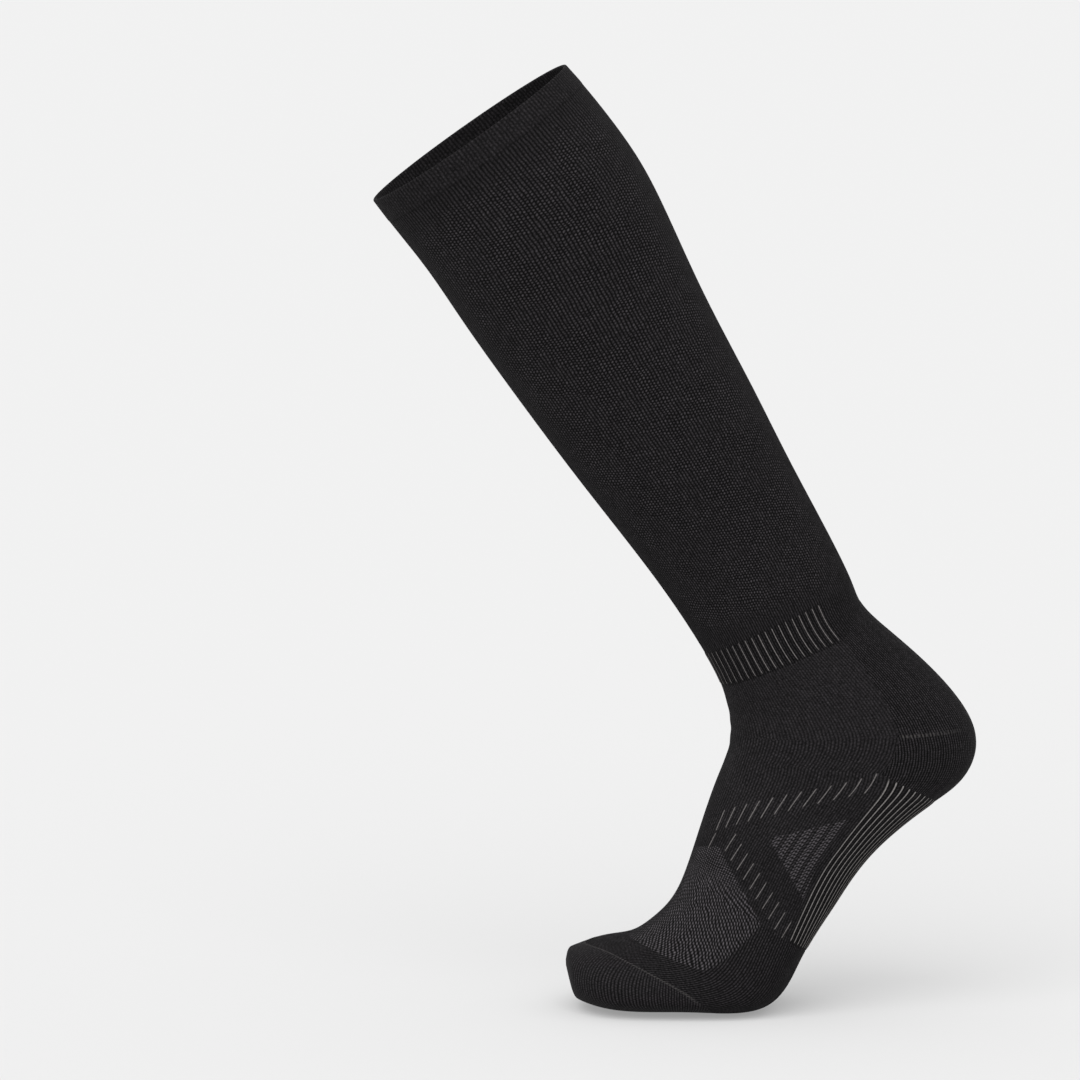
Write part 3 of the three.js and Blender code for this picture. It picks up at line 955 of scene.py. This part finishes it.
def makeBand():
    columns = columnsThrough(
        (0.5 - seams["heelCorner"], band["sideColumns"]),
        (0.5 + seams["heelCorner"], band["heelColumns"]),
        (1, band["sideColumns"]),
    )
    start, end = slanted(seams["legEnd"], columns), heelTopRun(heelSide(columns))
    runs, turns = tubeGrid(columns, evenShares(band["rows"]), start, end)
    shell = gridShell("bandCloth", runs, turns, bandRise(runs, turns))
    thicken(shell)
    area, girth = wornArea(runs, turns), girthAt(band["girthRun"])
    dress(shell, ["ankle_band"], "line_knit", bandMaterial(), area, girth, band["cutLength"])


makeBand()


# The ankle, in front of the heel pocket

ankle = {
    "rows": 28,
    "columns": 440,
    "cut": (190, 31),  # round and along
    "tone": 0.0112,
    "course": 1.4,
    "contrast": 0.48,
    "stitchSpread": 0.24,
    "heightShare": 0.7,
}


def ankleMaterial():
    cloth = KnitMaterial("ankleKnit")
    cloth.stitchesRound(course=ankle["course"])
    stitches = varied(cloth.eachStitch(), ankle["stitchSpread"])
    tone = cloth.plainTone(ankle["tone"], ankle["contrast"]) * stitches
    return cloth.finish(tone, cloth.plainHeight() * ankle["heightShare"])


# Shares down the cloth, and across it from one edge, -1, to the other, 1
def openGrid(rows, columns):
    down, side = np.linspace(0, 1, rows + 1), np.linspace(-1, 1, columns + 1)
    return np.meshgrid(down, side, indexing="ij")


def makeAnkle():
    down, side = openGrid(ankle["rows"], ankle["columns"])
    runs = seams["bandEnd"] + (seams["goreRun"] - seams["bandEnd"]) * down
    turns = side * (0.5 - heelHalfTurn(runs))
    shell = gridShell("ankleCloth", runs, turns, plainRise(runs, turns), loops=(False, False))
    thicken(shell)
    area = wornArea(runs, turns)
    dress(shell, ["ankle"], "leg_knit", ankleMaterial(), area, *ankle["cut"])


makeAnkle()


# The heel pocket: a denser knit, and a dotted line where its two halves meet

heel = {
    "rows": 72,
    "columns": 240,
    "cut": (120, 135),
    "waleShare": 0.5,
    "goreRise": 0.35,
    "goreHalf": 0.55,
    "goreReach": (0.02, 0.08),  # shares of the girth from the back where the gore line rises
    "tone": 0.0095,
    "wales": 1.25 * knit["wales"],
    "course": 1.3,
    "contrast": 1.0,
    "stitchSpread": 0.4,
    "line": (0.15, 0.5),
    "lineIn": (0.02, 0.15),
    "lineOut": (0.168, 0.174),
    "lineDots": 150,
    "lineDot": (0.35, 0.9),
    "lineStrength": 0.8,
}


def heelRise(runs, turns):
    line = np.exp(-((runs - seams["goreRun"]) / heel["goreHalf"]) ** 2)
    reach = fade(np.abs(turns - 0.5), *heel["goreReach"])
    return waleRise(turns) * heel["waleShare"] + heel["goreRise"] * line * reach


def heelMaterial():
    cloth = KnitMaterial("heelKnit")
    cloth.stitchesRound(heel["wales"], heel["course"])
    reach = rising(cloth.fromBack, *heel["lineIn"]) * falling(cloth.fromBack, *heel["lineOut"])
    dots = rising(wave(cloth.evenTurn * heel["lineDots"]), *heel["lineDot"])
    line = stripe(cloth.run - seams["goreRun"], *heel["line"]) * reach * dots
    stitches = varied(cloth.eachStitch(), heel["stitchSpread"])
    tone = cloth.plainTone(heel["tone"], heel["contrast"]) * stitches
    lines = [(line * heel["lineStrength"], yarn["seamLine"])]
    return cloth.finish(tone, cloth.plainHeight(), lines)


def makeHeel():
    down, side = openGrid(heel["rows"], heel["columns"])
    runs = heelTopRun(abs(side)) * (1 - down) + heelBottomRun(abs(side)) * down
    turns = 0.5 + side * heelHalfTurn(runs)
    shell = gridShell("heelCloth", runs, turns, heelRise(runs, turns), loops=(False, False))
    thicken(shell)
    area = wornArea(runs, turns)
    dress(shell, ["heel"], "pad_knit", heelMaterial(), area, *heel["cut"])


makeHeel()


# Patterns on the sides and the top of the foot. Places are a run and a share of
# the girth from the front.

footGirth = 245  # millimetres, for measures across the foot
meshEdge = 0.4  # millimetres either side of an edge over which mesh fades in

dash = {"half": 0.08, "soft": 0.30, "start": (-0.03, 0.06), "end": (0.92, 1.02), "strength": 0.8}
dashColumns = ("first", "step", "last", "start", "rise", "length", "lean")
dashRows = (
    # first and step are shares of the girth from the front, start and length are
    # millimetres down the cloth, and rise is how far start moves for a whole girth
    (0.0780, 0.0196, 11, 371, -122, 10.0, -0.002),
    (0.0790, 0.0100, 0, 382, 0, 9.0, 0.004),
    (0.1250, 0.0222, 9, 380, 172, 9.5, 0.006),
)


def dashes(cloth, first, step, last, start, rise, length, lean):
    order = lower(higher(round((cloth.fromFront - first) / step), 0), last)
    middle = order * step + first
    along = (cloth.run - (start + (middle - first) * rise)) / length
    across = (cloth.fromFront - middle + (along - 0.5) * lean) * footGirth
    line = stripe(across, dash["half"], dash["soft"])
    return line * rising(along, *dash["start"]) * falling(along, *dash["end"])


def edgeSide(cloth, a, b):  # millimetres from the line through two places, above 0 on one side
    across, downward = (b[1] - a[1]) * footGirth, b[0] - a[0]
    length = math.hypot(across, downward)
    sideways = (cloth.fromFront - a[1]) * (footGirth * downward)
    return (sideways - (cloth.run - a[0]) * across) / length


def polygon(cloth, corners):  # 1 inside, with the inside on the positive side of every edge
    inside = 1
    for a, b in zip(corners, corners[1:] + corners[:1]):
        inside = rising(edgeSide(cloth, a, b), -meshEdge, meshEdge) * inside
    return inside


meshTriangle = [(367, 0.314), (379, 0.197), (403, 0.333)]
topPanel = [
    (470, -0.02), (468, 0.049), (450, 0.217), (420, 0.269),
    (404, 0.188), (388, 0.104), (390, 0.07), (397, -0.02),
]

meshKnit = {
    "tone": 0.056,
    "around": 0.6,  # how far the plain knit under it is darkened
    "coarse": (398, 414),  # runs over which fine dots become slanted strokes
    "dotCourse": 1.5,
    "dotGain": 1.1,
    "strokeCourse": 0.9,
    "strokeSlant": 0.72,
    "strokePower": 1.8,
    "strokeBreak": 0.85,
    "strokeGain": 1.38,
    "stitchSpread": 0.5,
    "frontFade": (0.01, 0.06),
    "frontShare": 0.55,
}


def panelMesh(cloth):  # fine dots at the top of the panel and slanted strokes further down
    coarse = rising(cloth.run, *meshKnit["coarse"])
    dots = wave(cloth.course * meshKnit["dotCourse"] + cloth.halfCourse)
    fine = cloth.ridge * dots * meshKnit["dotGain"]
    slant = wave(cloth.course * meshKnit["strokeCourse"] + cloth.wale * meshKnit["strokeSlant"])
    parted = partly(cloth.ridge, meshKnit["strokeBreak"])
    strokes = slant ** meshKnit["strokePower"] * parted * meshKnit["strokeGain"]
    front = partly(rising(cloth.fromFront, *meshKnit["frontFade"]), meshKnit["frontShare"])
    stitches = varied(cloth.eachStitch(), meshKnit["stitchSpread"])
    return (fine * (1 - coarse) + strokes * coarse) * stitches * front


# The foot: plain instep, two rows of dashes, a mesh triangle and panel, and lined
# ribs under the arch

foot = {
    "rowsBeside": 12,  # beside the heel pocket, and below it
    "rowsBelow": 60,
    "sideColumns": 200,
    "soleColumns": 4,
    "archColumns": 182,
    "cut": (262, 92),
    "ribs": 84,
    "ribRise": 0.45,
    "ribPower": 1.6,
    "halfSpan": 0.155,  # of the ribs, from the middle of the sole
    "ribsOut": (-0.002, 0.003),
    "ribEnds": 2,
    "tone": 0.0104,
    "contrast": 0.6,
    "stitchSpread": 0.24,
    "padRuns": (372, 392),  # where the instep's tone becomes the padded knit's
    "archDark": 0.35,
    "archEdge": (-0.001, 0.003),
    "line": (0.88, 0.98),
    "lineStart": (346, 349),
    "lineEnd": (-1.6, -0.6),
    "triangleGain": 1.3,
    "triangleColumns": 42,
    "triangleColumn": (0.15, 0.5),
    "triangleShare": 0.65,
    "zigzagBreak": 0.75,
    "meshHeight": 0.10,
    "dashHeight": 0.1,
}


def footRise(runs, turns, even):
    aside = np.abs(even - 0.5)
    span = 1 - fade(aside, *[foot["halfSpan"] + way for way in foot["ribsOut"]])
    start = heelBottomRun(np.minimum(aside / seams["soleTurn"], 1))
    end = slanted(seams["footEnd"], turns)
    ends = fade(runs, start, start + foot["ribEnds"]) * (1 - fade(runs, end - foot["ribEnds"], end))
    ridge = 0.5 + 0.5 * np.cos(2 * math.pi * foot["ribs"] * (even - 0.5))
    ribs = foot["ribRise"] * ridge ** foot["ribPower"] * span * ends
    return plainRise(runs, turns) * (1 - span) + ribs


def triangleMesh(cloth):  # a herringbone in columns
    zigzag = wave(cloth.course + abs((cloth.wale * 0.5) % 1 - 0.5))
    stripes = rising(wave(cloth.evenTurn * foot["triangleColumns"]), *foot["triangleColumn"])
    stitches = zigzag * partly(cloth.ridge, foot["zigzagBreak"])
    return foot["triangleGain"] * partly(stripes, foot["triangleShare"]) * stitches


def archLines(cloth, arch):
    crest = wave((cloth.evenTurn - 0.5) * foot["ribs"])
    endLine = slantedValue(cloth, seams["footEnd"])
    ends = falling(cloth.run - endLine, *foot["lineEnd"]) * rising(cloth.run, *foot["lineStart"])
    return rising(crest, *foot["line"]) * arch * ends * cloth.grained(yarn["lineGrain"])


def footMaterial():
    cloth = KnitMaterial("footKnit")
    cloth.stitchesRound()
    aside = abs(cloth.evenTurn - 0.5)
    arch = falling(aside, *[foot["halfSpan"] + way for way in foot["archEdge"]])
    rows = [dashes(cloth, **dict(zip(dashColumns, row))) for row in dashRows]
    dashed = higher(higher(rows[0], rows[1]), rows[2]) * cloth.grained(yarn["dashGrain"])
    triangle, panel = polygon(cloth, meshTriangle), polygon(cloth, topPanel)
    meshed = triangle * triangleMesh(cloth) + panel * panelMesh(cloth)
    padded = rising(cloth.run, *foot["padRuns"]) * (1 - panel)
    tone = foot["tone"] - (foot["tone"] - yarn["pad"]) * padded
    tone = cloth.plainTone(tone, foot["contrast"])
    tone = tone * varied(cloth.eachStitch(), foot["stitchSpread"])
    tone = tone * (1 - foot["archDark"] * arch) * (1 - meshKnit["around"] * higher(triangle, panel))
    tone = tone + meshKnit["tone"] * meshed
    height = cloth.plainHeight() * (1 - arch)
    height = height + foot["meshHeight"] * meshed + foot["dashHeight"] * dashed
    lines = [(archLines(cloth, arch), yarn["archLine"]), (dashed * dash["strength"], yarn["line"])]
    return cloth.finish(tone, height, lines)


def makeFoot():
    span, edge = foot["halfSpan"], seams["soleTurn"]
    even = columnsThrough(
        (0.5 - edge, foot["sideColumns"]),
        (0.5 - span, foot["soleColumns"]),
        (0.5 + span, foot["archColumns"]),
        (0.5 + edge, foot["soleColumns"]),
        (1, foot["sideColumns"]),
    )
    top = seams["goreRun"]
    upper = heelBottomRun(np.minimum(np.abs(even - 0.5) / edge, 1))
    end = slanted(seams["footEnd"], even)
    beside = evenShares(foot["rowsBeside"])[:-1, None]
    below = evenShares(foot["rowsBelow"])[:, None]
    runs = np.concatenate([top + (upper - top) * beside, upper + (end - upper) * below])
    evens = np.tile(even, (len(runs), 1))
    pocket = heelHalfTurn(runs)
    inPocket = np.abs(evens - 0.5) <= edge + 1e-9
    front = fromFront(evens) * (0.5 - pocket) / (0.5 - edge)
    aside = np.where(evens < 0.5, front, 1 - front)
    turns = np.where(inPocket, 0.5 + (evens - 0.5) * pocket / edge, aside)
    middles = (even[1:] + even[:-1]) / 2
    filled = np.ones((len(runs) - 1, len(even) - 1), bool)
    filled[:foot["rowsBeside"], np.abs(middles - 0.5) < edge] = False
    shell = gridShell("footCloth", runs, turns, footRise(runs, turns, evens), filled, even=evens)
    thicken(shell)
    area = wornArea(runs, turns, filled)
    dress(shell, ["foot"], "line_knit", footMaterial(), area, *foot["cut"])


makeFoot()


# The pad under the ball of the foot, with the rest of the panel over it

forefoot = {"rows": 36, "girthRun": 432, "cutLength": 95, "meshHeight": 0.12}


def forefootMaterial():
    cloth = KnitMaterial("forefootKnit")
    cloth.stitchesRound()
    panel = polygon(cloth, topPanel)
    meshed = panel * panelMesh(cloth)
    plain = cloth.plainTone(yarn["pad"]) * (1 - meshKnit["around"] * panel)
    tone = plain + meshKnit["tone"] * meshed
    return cloth.finish(tone, cloth.plainHeight() + forefoot["meshHeight"] * meshed)


def makeForefoot():
    start, end = slanted(seams["footEnd"], allRound), toeSeamRun(allRound)
    runs, turns = tubeGrid(allRound, evenShares(forefoot["rows"]), start, end)
    shell = gridShell("forefootCloth", runs, turns, plainRise(runs, turns))
    thicken(shell)
    area, girth = wornArea(runs, turns), girthAt(forefoot["girthRun"])
    length = forefoot["cutLength"]
    dress(shell, ["forefoot"], "pad_knit", forefootMaterial(), area, girth, length)


makeForefoot()


# The toe: a dense knit whose wales stand upright, fanned about an upright line
# inside it, with the thin dotted seam over the toes

toe = {
    "rows": 34,
    "girthRun": 468,
    "cutLength": 75,
    "waleShare": 0.5,
    "seamRise": 0.15,
    "seamHalf": 0.9,
    "seamEnds": (-0.03, 0.02),  # shares of the girth beyond the seam's half turn
    "tone": 0.0108,
    "fan": (106, -6),  # X and Y of the upright line
    "fanWales": 190,
    "course": 1.2,
    "contrast": (0.4, 0.4),  # above, and what is added near the ground
    "contrastZ": (-0.424, -0.402),
    "lineBelow": 0.8,
    "line": (0.3, 0.6),
    "lineDots": 190,
    "lineDot": (0.3, 0.85),
    "lineStrength": (0.35, 0.5),  # at the middle of the front, and what is added aside
    "lineIn": (0.02, 0.10),
}
toeSeamEnds = [seams["toeHalfTurn"] + way for way in toe["seamEnds"]]


def toeRise(runs, turns):
    seam = np.exp(-((runs - toeSeamRun(turns)) / toe["seamHalf"]) ** 2)
    onTop = 1 - fade(fromFront(turns), *toeSeamEnds)
    return knit["waleRise"] * toe["waleShare"] + toe["seamRise"] * seam * onTop


def toeSeamLine(cloth):
    share = lower(cloth.fromFront / seams["toeHalfTurn"], 1)
    arch = ((1 + cosine(share * math.pi)) * 0.5) ** seams["toeSteepness"]
    seamRun = seams["toeSides"] + (seams["toeTop"] - seams["toeSides"]) * arch
    dots = rising(wave(cloth.evenTurn * toe["lineDots"]), *toe["lineDot"])
    least, more = toe["lineStrength"]
    strength = least + more * rising(cloth.fromFront, *toe["lineIn"])
    line = stripe(cloth.run - seamRun - toe["lineBelow"], *toe["line"])
    return line * falling(cloth.fromFront, *toeSeamEnds) * dots * strength


def toeMaterial():
    cloth = KnitMaterial("toeKnit")
    fanX, fanY = [way * mm for way in toe["fan"]]
    turned = (cloth.y - fanY).sum("ARCTAN2", fanX - cloth.x) / (2 * math.pi)
    cloth.setStitches(turned * toe["fanWales"], cloth.z / (toe["course"] * mm))
    contrast = toe["contrast"][0] + toe["contrast"][1] * falling(cloth.z, *toe["contrastZ"])
    lines = [(toeSeamLine(cloth), yarn["seamLine"])]
    return cloth.finish(cloth.plainTone(toe["tone"], contrast), cloth.plainHeight(), lines)


def makeToe():
    shares = np.sin(evenShares(toe["rows"]) * math.pi / 2)  # rows closer together at the tip
    runs, turns = tubeGrid(allRound, shares, toeSeamRun(allRound), toeTip)
    shell = gridShell("toeCloth", runs, turns, toeRise(runs, turns), closedTip=True)
    thicken(shell)
    area, girth = wornArea(runs, turns), girthAt(toe["girthRun"])
    dress(shell, ["toe"], "pad_knit", toeMaterial(), area, girth, toe["cutLength"])


makeToe()

with open("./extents.json", "w") as out:
    json.dump({"cad": [list(c) for c in cadBounds], "scene": [list(c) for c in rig.bounds()]}, out)
print("all pieces made")
